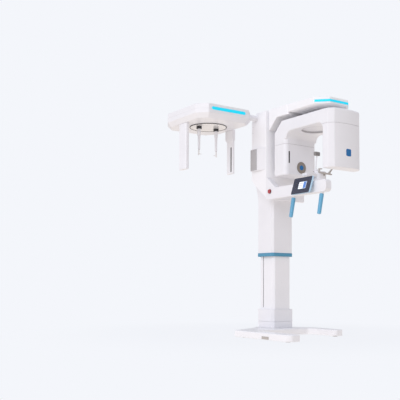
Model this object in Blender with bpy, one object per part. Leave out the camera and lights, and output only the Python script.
"""Panoramic dental X-ray machine with a cephalometric arm.

Metres, +Z up. The origin is on the floor, on the lifting column's centre line.
The patient stands on the -Y side, and the cephalometric unit is on the -X side.
"""
import math

import bmesh
import bpy
from mathutils import Matrix, Vector

GAP = 0.0004            # clearance between neighbouring pieces

BASE_LOW, BASE_TOP = 0.009, 0.065
LEG_LEFT_X = (-0.640, -0.500)
LEG_LEFT_FRONT = -0.930
LEG_RIGHT_X = (0.205, 0.325)
LEG_RIGHT_FRONT = -0.620
CROSSBAR_FRONT = -0.290
BASE_BACK = 0.150

BOOT_X, BOOT_Y, BOOT_CHAMFER = 0.138, (-0.118, 0.129), 0.024
BOOT_SEAM, BOOT_TOP = 0.127, 0.247
MAST_X, MAST_Y, MAST_CHAMFER, MAST_WALL = 0.112, (-0.102, 0.115), 0.020, 0.008
MAST_TOP = 1.540
GROOVE_Y = (0.0500, 0.0580)
SLEEVE_X, SLEEVE_Y, SLEEVE_CHAMFER, SLEEVE_WALL = 0.135, (-0.112, 0.130), 0.0216, 0.008
BAND_LOW, BAND_TOP = 0.769, 0.803
SLEEVE_TOP = 2.050

BODY_X, BODY_FRONT, BODY_BACK = 0.228, -0.160, 0.178
BODY_LOW, BODY_TOP = 1.315, 2.200
BODY_WALL = 0.006
NECK_LOW, NECK_END = 2.105, -0.440
BEAM_LOW, BEAM_FRONT, BEAM_X = 2.110, -0.895, 0.220
BEAM_CHAMFER = 0.105
ARM_LEFT, ARM_RIGHT, ARM_END, ARM_TOP = -0.228, -0.157, -0.950, 1.424

AXIS_Y = -0.600         # vertical axis of the rotating gantry
GANTRY_X = 0.200
BAR_LOW, BAR_TOP = 1.948, 2.065
REAR_BACK, REAR_FACE = -0.215, -0.385
FRONT_FACE, FRONT_SIDE, FRONT_APEX = -0.875, -0.990, -1.010
HEAD_LOW, REAR_SEAM, FRONT_SEAM = 1.535, 1.838, 1.930
FRONT_LOW = 1.530        # flat underside of the front head
HUB_RADIUS = 0.045

CONSOLE_Y = (-0.810, -0.556)
CONSOLE_PIVOT = (-0.2420, 1.385)
POST_XY = (0.0, -0.640)
STEM_XY = (0.0, -0.585)
HANDLE_LEAN = math.radians(10.7)

CEPH_X = (-0.990, -0.340)
CEPH_Y = (-0.110, 0.630)
CEPH_CHAMFER, CEPH_REAR_CUT = 0.093, 0.155
CEPH_TOP, CEPH_EDGE, CEPH_UNDER = 2.180, 2.092, 2.050
CEPH_INSET = 0.040
ROTOR_XY = (-0.650, 0.260)
EAR_SPREAD = 0.102
EAR_SHIFT = -0.008

WHITE = (0.86, 0.85, 0.88)
SHADE = (0.80, 0.79, 0.80)
BLUE = (0.12, 0.37, 0.56)
CYAN = (0.02, 0.70, 0.92)
NAVY = (0.06, 0.07, 0.13)
DARK = (0.05, 0.05, 0.055)
GREY = (0.42, 0.42, 0.43)
STEEL = (0.50, 0.51, 0.53)
RED = (0.38, 0.05, 0.06)
TAUPE = (0.20, 0.18, 0.15)


# ---------------------------------------------------------------- helpers
def clear_scene():
    for item in list(bpy.data.objects):
        bpy.data.objects.remove(item, do_unlink=True)


def material(name, colour, rough, metal=0.0):
    mat = bpy.data.materials.new(name)
    mat.use_nodes = True
    shader = mat.node_tree.nodes["Principled BSDF"]
    shader.inputs["Base Color"].default_value = (*colour, 1.0)
    shader.inputs["Roughness"].default_value = rough
    shader.inputs["Metallic"].default_value = metal
    mat.diffuse_color = (*colour, 1.0)
    return mat


def finish(name, bm, colour, rough=0.35, metal=0.0, smooth=False):
    bmesh.ops.recalc_face_normals(bm, faces=bm.faces)
    for face in bm.faces:
        face.smooth = smooth
    mesh = bpy.data.meshes.new(name)
    bm.to_mesh(mesh)
    bm.free()
    mesh.materials.append(material(name, colour, rough, metal))
    obj = bpy.data.objects.new(name, mesh)
    bpy.context.scene.collection.objects.link(obj)
    return obj


def place(axis, a, b, c):
    """A point from outline coordinates (a, b) and a height c along the axis."""
    if axis == "z":
        return Vector((a, b, c))
    if axis == "y":
        return Vector((a, c, b))
    return Vector((c, a, b))


def loft(name, rings, colour, **look):
    """A closed solid through rings of equal point count."""
    bm = bmesh.new()
    loops = [[bm.verts.new(point) for point in ring] for ring in rings]
    count = len(loops[0])
    for low, high in zip(loops, loops[1:]):
        for i in range(count):
            j = (i + 1) % count
            bm.faces.new((low[i], low[j], high[j], high[i]))
    bm.faces.new(loops[0])
    bm.faces.new(loops[-1])
    return finish(name, bm, colour, **look)


def prism(name, outline, axis, low, high, colour, **look):
    rings = [[place(axis, a, b, c) for a, b in outline] for c in (low, high)]
    return loft(name, rings, colour, **look)


def tube(name, outer, inner, low, high, colour, **look):
    """A vertical tube between two outlines of equal point count."""
    bm = bmesh.new()
    loops = []
    for outline, height in ((outer, low), (outer, high), (inner, high), (inner, low)):
        loops.append([bm.verts.new((x, y, height)) for x, y in outline])
    count = len(outer)
    for k in range(4):
        low_loop, high_loop = loops[k], loops[(k + 1) % 4]
        for i in range(count):
            j = (i + 1) % count
            bm.faces.new((low_loop[i], low_loop[j], high_loop[j], high_loop[i]))
    return finish(name, bm, colour, **look)


def octagon(low, high, chamfer):
    """Rectangle from low to high with 45 degree corners."""
    (x0, y0), (x1, y1), c = low, high, chamfer
    return [(x0 + c, y0), (x1 - c, y0), (x1, y0 + c), (x1, y1 - c),
            (x1 - c, y1), (x0 + c, y1), (x0, y1 - c), (x0, y0 + c)]


def column(half_x, depth, chamfer, grow=0.0):
    """Plan of the column or one of its covers, grown or shrunk on every side."""
    low = (-half_x - grow, depth[0] - grow)
    high = (half_x + grow, depth[1] + grow)
    return octagon(low, high, chamfer + 0.4 * grow)


def circle(centre, radius, count=32):
    turn = 2 * math.pi / count
    return [(centre[0] + radius * math.cos(turn * i), centre[1] + radius * math.sin(turn * i))
            for i in range(count)]


def arc(centre, radius, start, end, steps):
    """Points of an arc in degrees, both ends included."""
    points = []
    for i in range(steps + 1):
        angle = math.radians(start + (end - start) * i / steps)
        points.append((centre[0] + radius * math.cos(angle), centre[1] + radius * math.sin(angle)))
    return points


def cylinder(name, axis, centre, radius, low, high, colour, count=32, **look):
    return prism(name, circle(centre, radius, count), axis, low, high, colour, **look)


def box(name, low, high, colour, **look):
    outline = [(low[0], low[1]), (high[0], low[1]), (high[0], high[1]), (low[0], high[1])]
    return prism(name, outline, "z", low[2], high[2], colour, **look)


def combine(target, tool, operation):
    """Boolean of two solids, kept as the target's mesh; the tool is removed."""
    modifier = target.modifiers.new("cut", "BOOLEAN")
    modifier.operation = operation
    modifier.solver = "EXACT"
    modifier.object = tool
    tool.hide_render = True
    graph = bpy.context.evaluated_depsgraph_get()
    mesh = bpy.data.meshes.new_from_object(target.evaluated_get(graph))
    target.modifiers.clear()
    old = target.data
    slot = old.materials[0]
    target.data = mesh
    mesh.materials.clear()
    mesh.materials.append(slot)
    for face in mesh.polygons:
        face.material_index = 0
    bpy.data.objects.remove(tool, do_unlink=True)
    return target


def cut(target, tool):
    return combine(target, tool, "DIFFERENCE")


def join(target, tool):
    return combine(target, tool, "UNION")


def keep(target, tool):
    return combine(target, tool, "INTERSECT")


def set_origin(obj, point):
    obj.data.transform(Matrix.Translation(-Vector(point)))
    obj.location = point
    return obj


# ---------------------------------------------------------------- floor base and mast
def base_outline():
    left, inner = LEG_LEFT_X
    near, far = LEG_RIGHT_X
    return [(left, LEG_LEFT_FRONT + 0.035), (left + 0.035, LEG_LEFT_FRONT),
            (inner - 0.020, LEG_LEFT_FRONT), (inner, LEG_LEFT_FRONT + 0.020),
            (inner, CROSSBAR_FRONT - 0.045), (inner + 0.045, CROSSBAR_FRONT),
            (near - 0.040, CROSSBAR_FRONT), (near, CROSSBAR_FRONT - 0.090),
            (near, LEG_RIGHT_FRONT + 0.025), (near + 0.025, LEG_RIGHT_FRONT),
            (far - 0.025, LEG_RIGHT_FRONT), (far, LEG_RIGHT_FRONT + 0.025),
            (far + 0.012, -0.215), (0.205, -0.045), (0.175, BASE_BACK - 0.030),
            (0.145, BASE_BACK), (-0.145, BASE_BACK), (-0.175, BASE_BACK - 0.030),
            (-0.235, 0.045), (left + 0.020, -0.150), (left, -0.175)]


def build_base():
    prism("base_frame", base_outline(), "z", BASE_LOW, BASE_TOP, WHITE)
    feet = {"foot_front_left": (-0.570, -0.840), "foot_rear_left": (-0.560, -0.225),
            "foot_front_right": (0.265, -0.560), "foot_rear_right": (0.110, 0.105),
            "foot_centre": (0.0, 0.0)}
    for name, spot in feet.items():
        cylinder(name, "z", spot, 0.022, 0.0, BASE_LOW - GAP, DARK, 24, rough=0.7)
    box("base_plate_label", (LEG_LEFT_X[0] - 0.0020, -0.665, 0.011),
        (LEG_LEFT_X[0] - GAP, -0.570, 0.036), TAUPE)
    hole = column(MAST_X, MAST_Y, MAST_CHAMFER, GAP)
    outer = column(BOOT_X, BOOT_Y, BOOT_CHAMFER)
    tube("boot_lower", outer, hole, BASE_TOP + GAP, BOOT_SEAM - GAP, WHITE)
    tube("boot_upper", outer, hole, BOOT_SEAM + GAP, BOOT_TOP, WHITE)


def build_mast():
    outer = column(MAST_X, MAST_Y, MAST_CHAMFER)
    inner = column(MAST_X, MAST_Y, MAST_CHAMFER, -MAST_WALL)
    mast = tube("inner_column", outer, inner, BASE_TOP + GAP, MAST_TOP, WHITE)
    cut(mast, box("groove", (-MAST_X - 0.01, GROOVE_Y[0], 0.262), (-MAST_X + 0.004, GROOVE_Y[1], 1.520), DARK))
    motor = box("lift_actuator", (-0.055, -0.050, 0.068), (0.055, 0.050, 0.205), GREY, rough=0.5)
    join(motor, cylinder("barrel", "z", (0, 0), 0.036, 0.150, 0.950, GREY))
    cut(motor, cylinder("bore", "z", (0, 0), 0.0225, 0.225, 0.960, GREY))


def build_power():
    rear = BOOT_Y[1]
    inlet = box("power_inlet", (-0.065, rear + GAP, 0.080), (-0.020, rear + 0.009, 0.112), DARK)
    cut(inlet, box("socket", (-0.058, rear + 0.002, 0.086), (-0.027, rear + 0.02, 0.106), DARK))
    back = rear + 0.0024
    rocker = [(back, 0.083), (back + 0.0075, 0.083), (back + 0.0045, 0.096),
              (back + 0.0075, 0.109), (back, 0.109)]
    switch = prism("power_switch", rocker, "x", 0.018, 0.042, DARK)
    set_origin(switch, (0.030, back, 0.096))


# ---------------------------------------------------------------- lifting carriage
def body_plan(inset):
    x, front, back, i = BODY_X - inset, BODY_FRONT + inset, BODY_BACK - inset, inset
    return [(-0.15 + 0.2 * i, front), (0.218 - 0.4 * i, front), (x, -0.150 + 0.8 * i),
            (x, 0.096 - 0.4 * i), (0.146 - 0.4 * i, back), (-0.146 + 0.4 * i, back),
            (-x, 0.096 - 0.4 * i), (-x, -0.125 + 0.8 * i)]


def body_side(inset):
    low, top, i = BODY_LOW + inset, BODY_TOP - inset, inset
    return [(-0.30, low), (-0.155 - 0.2 * i, low), (0.049, 1.477 + 1.3 * i),
            (0.096, 1.533 + 1.4 * i), (0.190, 1.645 + 1.4 * i), (0.190, 2.038 - 1.3 * i),
            (0.096, 2.130 - 1.3 * i), (0.024, top), (-0.30, top)]


def build_column_covers():
    outer = column(SLEEVE_X, SLEEVE_Y, SLEEVE_CHAMFER)
    inner = column(SLEEVE_X, SLEEVE_Y, SLEEVE_CHAMFER, -SLEEVE_WALL)
    tube("outer_sleeve", outer, inner, BAND_TOP + GAP, SLEEVE_TOP, WHITE)
    proud = column(SLEEVE_X, SLEEVE_Y, SLEEVE_CHAMFER, 0.0035)
    tube("sleeve_band", proud, inner, BAND_LOW, BAND_TOP, BLUE, rough=0.25)
    back = SLEEVE_Y[1] + GAP
    fairing = [(back, 1.318), (0.1385, 1.350), (0.147, 1.395), (0.161, 1.448),
               (BODY_BACK, 1.500), (BODY_BACK, 1.627), (back, 1.558)]
    prism("rear_fairing", fairing, "x", -0.113, 0.113, WHITE)


def build_body():
    body = prism("carriage_body", body_plan(0.0), "z", 1.20, 2.30, WHITE)
    keep(body, prism("side", body_side(0.0), "x", -0.30, 0.30, WHITE))
    hollow = prism("hollow", body_plan(BODY_WALL), "z", 1.20, 2.30, WHITE)
    keep(hollow, prism("side", body_side(BODY_WALL), "x", -0.30, 0.30, WHITE))
    cut(body, hollow)
    opening = column(SLEEVE_X, SLEEVE_Y, SLEEVE_CHAMFER, GAP)
    cut(body, prism("opening", opening, "z", 1.10, 1.80, WHITE))
    apron = [(-0.158, BODY_LOW), (-0.186, BODY_LOW), (-0.186, 1.398), (-0.158, 1.426)]
    join(body, prism("apron", apron, "x", ARM_RIGHT + GAP, BODY_X - 0.010, WHITE))
    box("carriage_frame", (-0.100, -0.095, SLEEVE_TOP + GAP), (0.100, 0.095, 2.078), STEEL, metal=0.8)
    cylinder("lift_rod", "z", (0, 0), 0.020, 0.750, SLEEVE_TOP, STEEL, metal=0.9, smooth=False)


def build_neck():
    back = BODY_FRONT - GAP
    side = [(back, BODY_TOP), (NECK_END + GAP, BODY_TOP), (NECK_END + GAP, NECK_LOW),
            (-0.275, NECK_LOW), (back, 1.992)]
    neck = prism("carriage_neck", side, "x", -BEAM_X, BEAM_X, WHITE)
    cut(neck, box("channel", (-0.212, NECK_END - 0.01, 2.113), (0.212, back + 0.01, 2.193), WHITE))


def beam_outline(inset, right_front):
    x, front, c = BEAM_X - inset, BEAM_FRONT + inset, BEAM_CHAMFER
    rear = NECK_END - GAP
    return [(-x, rear), (-x, BEAM_FRONT + c + 0.4 * inset), (-x + c, front),
            (right_front, front), (x, BEAM_FRONT + c + 0.4 * inset), (x, rear)]


def build_beam():
    rings = []
    for height, inset in ((BEAM_LOW, 0.030), (BEAM_LOW + 0.016, 0.0), (BODY_TOP, 0.0)):
        ring = []
        for x, y in beam_outline(inset, 0.112 - inset * 0.6):
            fall = 0.012 * (y - NECK_END) / (BEAM_FRONT - NECK_END) if height == BODY_TOP else 0.0
            ring.append(Vector((x, y, height - max(fall, 0.0))))
        rings.append(ring)
    beam = loft("overhead_beam", rings, WHITE)
    hollow = prism("hollow", [(-0.185, -0.43), (-0.185, -0.775), (-0.100, -0.860),
                              (0.095, -0.860), (0.185, -0.775), (0.185, -0.43)],
                   "z", BEAM_LOW + 0.008, 2.166, WHITE)
    cut(beam, hollow)
    r = HUB_RADIUS + 0.003
    slot = arc((0, AXIS_Y), r, 0, 180, 12) + arc((0, AXIS_Y - 0.03), r, 180, 360, 12)
    cut(beam, prism("slot", slot, "z", 2.05, 2.13, WHITE))


def strip_outline(near, far):
    """A band that follows the beam's nose, between two offsets from its faces."""
    x, c, front = BEAM_X, BEAM_CHAMFER, BEAM_FRONT
    def line(out):
        d = 0.414 * out
        lean = 0.707 * out
        return [(-x + 0.006 - lean, front + c - 0.006 - lean), (-x + c - d, front - out),
                (0.112 + d, front - out), (x - 0.006 + lean, front + c - 0.006 - lean)]
    return line(far) + list(reversed(line(near)))


def build_light_strips():
    prism("beam_light_strip", strip_outline(GAP, 0.0030), "z", 2.142, 2.163, CYAN, rough=0.3)
    y0, y1 = CEPH_Y[0] - 0.0030, CEPH_Y[0] - GAP
    z0, z1 = 2.123, 2.152
    r = (z1 - z0) / 2
    ends = arc((-0.471 - r, z0 + r), r, -90, 90, 8) + arc((-0.865 + r, z0 + r), r, 90, 270, 8)
    prism("ceph_light_strip", ends, "y", y0, y1, CYAN, rough=0.3)


def handle_axis(y):
    top = Vector((-0.1900, y, 1.318))
    down = Vector((-math.sin(HANDLE_LEAN), 0, -math.cos(HANDLE_LEAN)))
    return top, down


def rod_between(name, start, end, radius_start, radius_end, colour, count=24, **look):
    along = (end - start).normalized()
    side = along.orthogonal().normalized()
    other = along.cross(side)
    rings = []
    for point, radius in ((start, radius_start), (end, radius_end)):
        ring = []
        for i in range(count):
            angle = 2 * math.pi * i / count
            ring.append(point + radius * (side * math.cos(angle) + other * math.sin(angle)))
        rings.append(ring)
    return loft(name, rings, colour, **look)


def build_arm():
    low = BODY_LOW
    nose = arc((ARM_END + 0.035, ARM_TOP - 0.036), 0.035, 180, 90, 6)
    chin = arc((ARM_END + 0.035, low + 0.035), 0.035, 270, 180, 6)
    side = [(-0.10, low)] + chin + nose + [(-0.262, ARM_TOP), (-0.140, 1.534), (-0.10, 1.534)]
    arm = prism("lower_arm", side, "x", ARM_LEFT, ARM_RIGHT, WHITE)
    plan = [(ARM_LEFT - 0.01, -0.1256), (ARM_LEFT, -0.1256), (ARM_RIGHT, -0.1606),
            (ARM_RIGHT + 0.01, -0.1606), (ARM_RIGHT + 0.01, -1.1), (ARM_LEFT - 0.01, -1.1)]
    keep(arm, prism("plan", plan, "z", 1.2, 1.6, WHITE))
    join(arm, box("console_bracket", (-0.2360, -0.705, 1.372), (-0.220, -0.657, 1.398), WHITE))
    for y in (-0.490, -0.864):
        top, down = handle_axis(y)
        join(arm, rod_between("cap", top - 0.012 * down, top + 0.018 * down, 0.0185, 0.0170, WHITE))
    cut(arm, cylinder("recess", "x", (-0.185, 1.392), 0.0120, -0.240, -0.214, DARK, 24))


def build_controls():
    for name, y in (("handle_rear", -0.490), ("handle_front", -0.864)):
        top, down = handle_axis(y)
        rod_between(name, top + 0.0185 * down, top + 0.2030 * down, 0.0195, 0.0180, BLUE, rough=0.4)
    stop = cylinder("stop_button", "x", (-0.185, 1.392), 0.0200, -0.2400, -0.2325, RED, 32, rough=0.3)
    join(stop, cylinder("stem", "x", (-0.185, 1.392), 0.0105, -0.2350, -0.2190, RED, 24))
    set_origin(stop, (-0.2325, -0.185, 1.392))


def build_console():
    low, high = Vector((-0.289, 0, 1.316)), Vector((-0.239, 0, 1.469))
    up = (high - low).normalized()
    inward = Vector((up.z, 0, -up.x))
    corners = [low, high, high + 0.012 * inward, low + 0.012 * inward]
    outline = [(p.x, p.z) for p in corners]
    console = prism("console", outline, "y", *CONSOLE_Y, NAVY, rough=0.3)
    join(console, box("lug", (-0.2630, -0.700, 1.380), (-0.2376, -0.662, 1.390), NAVY))
    mid = (low + high) / 2
    shift = Vector((0, 0, 0)) - inward
    a, b = mid - 0.034 * up, mid + 0.034 * up
    face = [a + GAP * shift, b + GAP * shift, b + 0.0014 * shift, a + 0.0014 * shift]
    screen = prism("console_screen", [(p.x, p.z) for p in face], "y", -0.738, -0.640, CYAN, rough=0.2)
    for piece in (console, screen):
        set_origin(piece, (CONSOLE_PIVOT[0], sum(CONSOLE_Y) / 2, CONSOLE_PIVOT[1]))


def build_pod():
    side = -BODY_X - GAP
    plan = [(side, 0.082), (-0.2560, 0.082), (-0.2560, -0.016), (side, -0.120)]
    prism("side_pod", plan, "z", 1.617, 1.838, WHITE)
    box("pod_vent", (-0.2600, -0.012, 1.622), (-0.2560 - GAP, 0.079, 1.833), GREY, rough=0.6)


def build_head_support():
    x, y = POST_XY
    post = cylinder("chin_bracket", "z", (x, y), 0.0565, 1.362, 1.545, WHITE, 40)
    join(post, box("bar", (ARM_RIGHT + GAP, y - 0.042, 1.362), (x, y + 0.042, 1.412), WHITE))
    join(post, box("tray", (-0.185, y - 0.020, 1.492), (x, y + 0.050, 1.520), WHITE))
    join(post, cylinder("socket", "z", STEM_XY, 0.0190, 1.500, 1.580, WHITE, 24))
    cut(post, cylinder("bore", "z", STEM_XY, 0.0085, 1.440, 1.600, WHITE, 20))
    near, far = y - 0.0570 - 0.0200, y - 0.0570
    cradle = [(-0.078, 1.519), (0.082, 1.513), (0.086, 1.520), (0.056, 1.527), (0.092, 1.566),
              (0.082, 1.570), (0.040, 1.528), (-0.068, 1.530), (-0.068, 1.556),
              (-0.040, 1.556), (-0.040, 1.564), (-0.078, 1.564)]
    prism("chin_rest", cradle, "y", near, far, GREY, rough=0.5)
    top = (STEM_XY[0], STEM_XY[1] - 0.016, 1.7030)
    middle = (STEM_XY[0], STEM_XY[1], 1.612)
    stem = cylinder("forehead_stem", "z", STEM_XY, 0.0060, 1.470, 1.620, WHITE, 20)
    join(stem, rod_between("lean", Vector(middle), Vector(top), 0.0060, 0.0050, WHITE, 20))
    outline = octagon((-0.035, top[1] - 0.016), (0.035, top[1] + 0.016), 0.010)
    pad = prism("forehead_pad", outline, "z", 1.7040 + GAP, 1.7400, GREY, rough=0.7)
    for piece in (stem, pad):
        set_origin(piece, (STEM_XY[0], STEM_XY[1], 1.580))


# ---------------------------------------------------------------- rotating gantry
def build_stage():
    """The plate in the beam that carries the gantry and slides along the beam."""
    y = AXIS_Y
    plate = box("stage_plate", (-0.140, y - 0.115, 2.1250), (0.140, y + 0.115, 2.1330), STEEL, metal=0.7)
    cut(plate, cylinder("bore", "z", (0, y), 0.034, 2.10, 2.15, STEEL))
    cylinder("rotation_motor", "z", (0.095, y), 0.028, 2.1334, 2.1620, GREY, rough=0.5)


def rear_plan():
    return [(-GANTRY_X, REAR_BACK), (-GANTRY_X, REAR_FACE + 0.028), (-GANTRY_X + 0.028, REAR_FACE),
            (GANTRY_X - 0.028, REAR_FACE), (GANTRY_X, REAR_FACE + 0.028), (GANTRY_X, REAR_BACK)]


def front_plan():
    """The front head bulges forward as a shallow arc between chamfered sides."""
    half, rise = GANTRY_X - 0.045, FRONT_SIDE - FRONT_APEX
    points = [(-GANTRY_X + 0.012, FRONT_FACE), (-GANTRY_X, FRONT_FACE - 0.012),
              (-GANTRY_X, FRONT_SIDE + 0.045)]
    for i in range(11):
        x = -half + 2 * half * i / 10
        points.append((x, FRONT_SIDE - rise * (1 - (x / half) ** 2)))
    return points + [(GANTRY_X, FRONT_SIDE + 0.045), (GANTRY_X, FRONT_FACE - 0.012),
                     (GANTRY_X - 0.012, FRONT_FACE)]


def inset_plan(points, centre, amount):
    """The same outline moved inwards towards its centre by about the given amount."""
    moved = []
    for x, y in points:
        dx, dy = x - centre[0], y - centre[1]
        moved.append((x - math.copysign(min(amount, abs(dx)), dx),
                      y - math.copysign(min(amount, abs(dy)), dy)))
    return moved


def head_cover(name, plan, centre, low, top):
    cover = prism(name, plan, "z", low, top - GAP, WHITE)
    inner = inset_plan(plan, centre, 0.006)
    cut(cover, prism("hollow", inner, "z", HEAD_LOW + 0.010, top + 0.01, WHITE))
    return cover


def build_gantry():
    rear = head_cover("rear_head_cover", rear_plan(), (0, -0.300), HEAD_LOW, REAR_SEAM)
    cut(rear, box("slot", (-0.1610, REAR_FACE - 0.01, 1.651), (-0.1460, REAR_FACE + 0.02, 1.766), DARK))
    front = head_cover("front_head_cover", front_plan(), (0, -0.935), FRONT_LOW, FRONT_SEAM)
    shoulder = prism("rear_shoulder", rear_plan(), "z", REAR_SEAM, BAR_TOP, WHITE)
    side = [(-0.200, 1.80), (-0.200, 1.945), (-0.322, BAR_TOP),
            (-0.330, BAR_TOP + 0.01), (-0.42, BAR_TOP + 0.01), (-0.42, 1.80)]
    keep(shoulder, prism("side", side, "x", -0.2, 0.2, WHITE))
    front = prism("front_shoulder", front_plan(), "z", FRONT_SEAM, BAR_TOP, WHITE)
    nose = [(FRONT_FACE + 0.01, 1.90), (FRONT_FACE + 0.01, 2.10), (-0.975, 2.10)]
    nose += arc((-0.982, 2.035), 0.030, 90, 180, 5) + [(-1.02, 2.02), (-1.02, 1.90)]
    keep(front, prism("side", nose, "x", -0.2, 0.2, WHITE))
    back, face, r = REAR_FACE - GAP, FRONT_FACE + GAP, 0.070
    side = [(back, BAR_TOP), (back, BAR_LOW - r)]
    side += arc((back - r, BAR_LOW - r), r, 0, 90, 7)[1:]
    side += arc((face + 0.050, BAR_LOW - 0.050), 0.050, 90, 180, 7)
    side += [(face, BAR_TOP)]
    bar = prism("gantry_bar", side, "x", -GANTRY_X, GANTRY_X, WHITE)
    seat = circle((0, AXIS_Y), 0.1440, 48)
    cut(bar, prism("seat", seat, "z", BAR_LOW - 0.01, BAR_LOW + 0.0150, DARK))
    outer, inner = circle((0, AXIS_Y), 0.1436, 48), circle((0, AXIS_Y), 0.1380, 48)
    tube("bar_ring", outer, inner, BAR_LOW, BAR_LOW + 0.0146, DARK, rough=0.5)
    prism("head_disc", circle((0, 1.618), 0.057, 48), "y", REAR_FACE - 0.004, REAR_FACE - GAP, TAUPE)
    box("head_slot", (-0.1606, REAR_FACE, 1.6514), (-0.1464, REAR_FACE + 0.005, 1.7656), DARK)
    hub = cylinder("gantry_hub", "z", (0, AXIS_Y), HUB_RADIUS, BAR_TOP + GAP, 2.1246, STEEL, 48, metal=0.7)
    join(hub, cylinder("journal", "z", (0, AXIS_Y), 0.0335, 2.10, 2.1600, STEEL, 48))
    box("xray_tube_block", (-0.125, -0.360, 1.560), (0.125, -0.245, 1.800), GREY, rough=0.5)
    box("detector_panel", (-0.120, -0.925, 1.600), (0.120, -0.900, 1.880), DARK, rough=0.5)


# ---------------------------------------------------------------- cephalometric unit
def build_ceph_housing():
    rings = []
    for height, inset in ((CEPH_UNDER, CEPH_INSET), (CEPH_EDGE, 0.0), (CEPH_TOP, 0.0)):
        low = (CEPH_X[0] + inset, CEPH_Y[0] + inset)
        high = (CEPH_X[1] - inset, CEPH_Y[1] - inset)
        front, rear = CEPH_CHAMFER - 0.58 * inset, CEPH_REAR_CUT - 0.6 * inset
        outline = octagon(low, high, front)
        outline[3] = (high[0], high[1] - rear)
        outline[6] = (low[0], high[1] - rear)
        rings.append([Vector((x, y, height)) for x, y in outline])
    loft("ceph_housing", rings, WHITE)
    cylinder("ceph_arm", "x", (0.033, 2.1495), 0.030, CEPH_X[1] + GAP, -BODY_X - GAP, WHITE, 32)


def build_ceph_rotor():
    under = CEPH_UNDER - GAP
    ring, disc = circle(ROTOR_XY, 0.184, 64), circle(ROTOR_XY, 0.179, 64)
    tube("ceph_ring", ring, disc, under - 0.006, under, DARK, rough=0.4)
    cylinder("ceph_rotor_plate", "z", ROTOR_XY, 0.179 - GAP, under - 0.004, under, SHADE, 64)
    x0, y0 = ROTOR_XY[0] + EAR_SHIFT, ROTOR_XY[1]
    top = under - 0.004 - GAP
    for name, side in (("left", -1), ("right", 1)):
        x = x0 + side * EAR_SPREAD
        arm = box("ear_arm_" + name, (x - 0.011, y0 - 0.010, 1.816), (x + 0.011, y0 + 0.010, 1.960), WHITE)
        join(arm, box("thick", (x - 0.015, y0 - 0.014, 1.950), (x + 0.015, y0 + 0.014, 2.016), WHITE))
        join(arm, box("clamp", (x - 0.036, y0 - 0.016, 2.010), (x + 0.036, y0 + 0.016, top), DARK))
        inner = x - side * 0.030
        tip = prism("ear_tip_" + name, [(x - side * 0.004, 1.8156), (x + side * 0.008, 1.8156),
                                        (x + side * 0.010, 1.752), (inner, 1.768),
                                        (inner, 1.776), (x - side * 0.002, 1.776)],
                    "y", y0 - 0.006, y0 + 0.006, SHADE, rough=0.4)
        for piece in (arm, tip):
            set_origin(piece, (x, y0, top))


def build_ceph_plates():
    under = CEPH_UNDER - GAP
    outline = octagon((-0.949, 0.2080), (-0.907, 0.3350), 0.009)
    prism("ceph_sensor", outline, "z", 1.600, under, WHITE)
    outline = octagon((-0.390, 0.2050), (-0.361, 0.3080), 0.008)
    plate = prism("ceph_collimator", outline, "z", 1.604, 1.950, WHITE)
    wide = [(0.202, 1.944), (0.202, under), (0.325, under), (0.325, 1.958), (0.304, 1.934), (0.250, 1.934)]
    join(plate, prism("bracket", wide, "x", -0.3935, -0.3595, WHITE))
    cut(plate, box("slot", (-0.40, 0.2220, 1.622), (-0.3855, 0.2400, 1.873), DARK))
    box("ceph_slot_window", (-0.3885, 0.2224, 1.6224), (-0.3859, 0.2396, 1.8726), DARK)


def main():
    clear_scene()
    build_base()
    build_mast()
    build_power()
    build_column_covers()
    build_body()
    build_neck()
    build_beam()
    build_light_strips()
    build_arm()
    build_controls()
    build_console()
    build_pod()
    build_head_support()
    build_stage()
    build_gantry()
    build_ceph_housing()
    build_ceph_rotor()
    build_ceph_plates()


main()
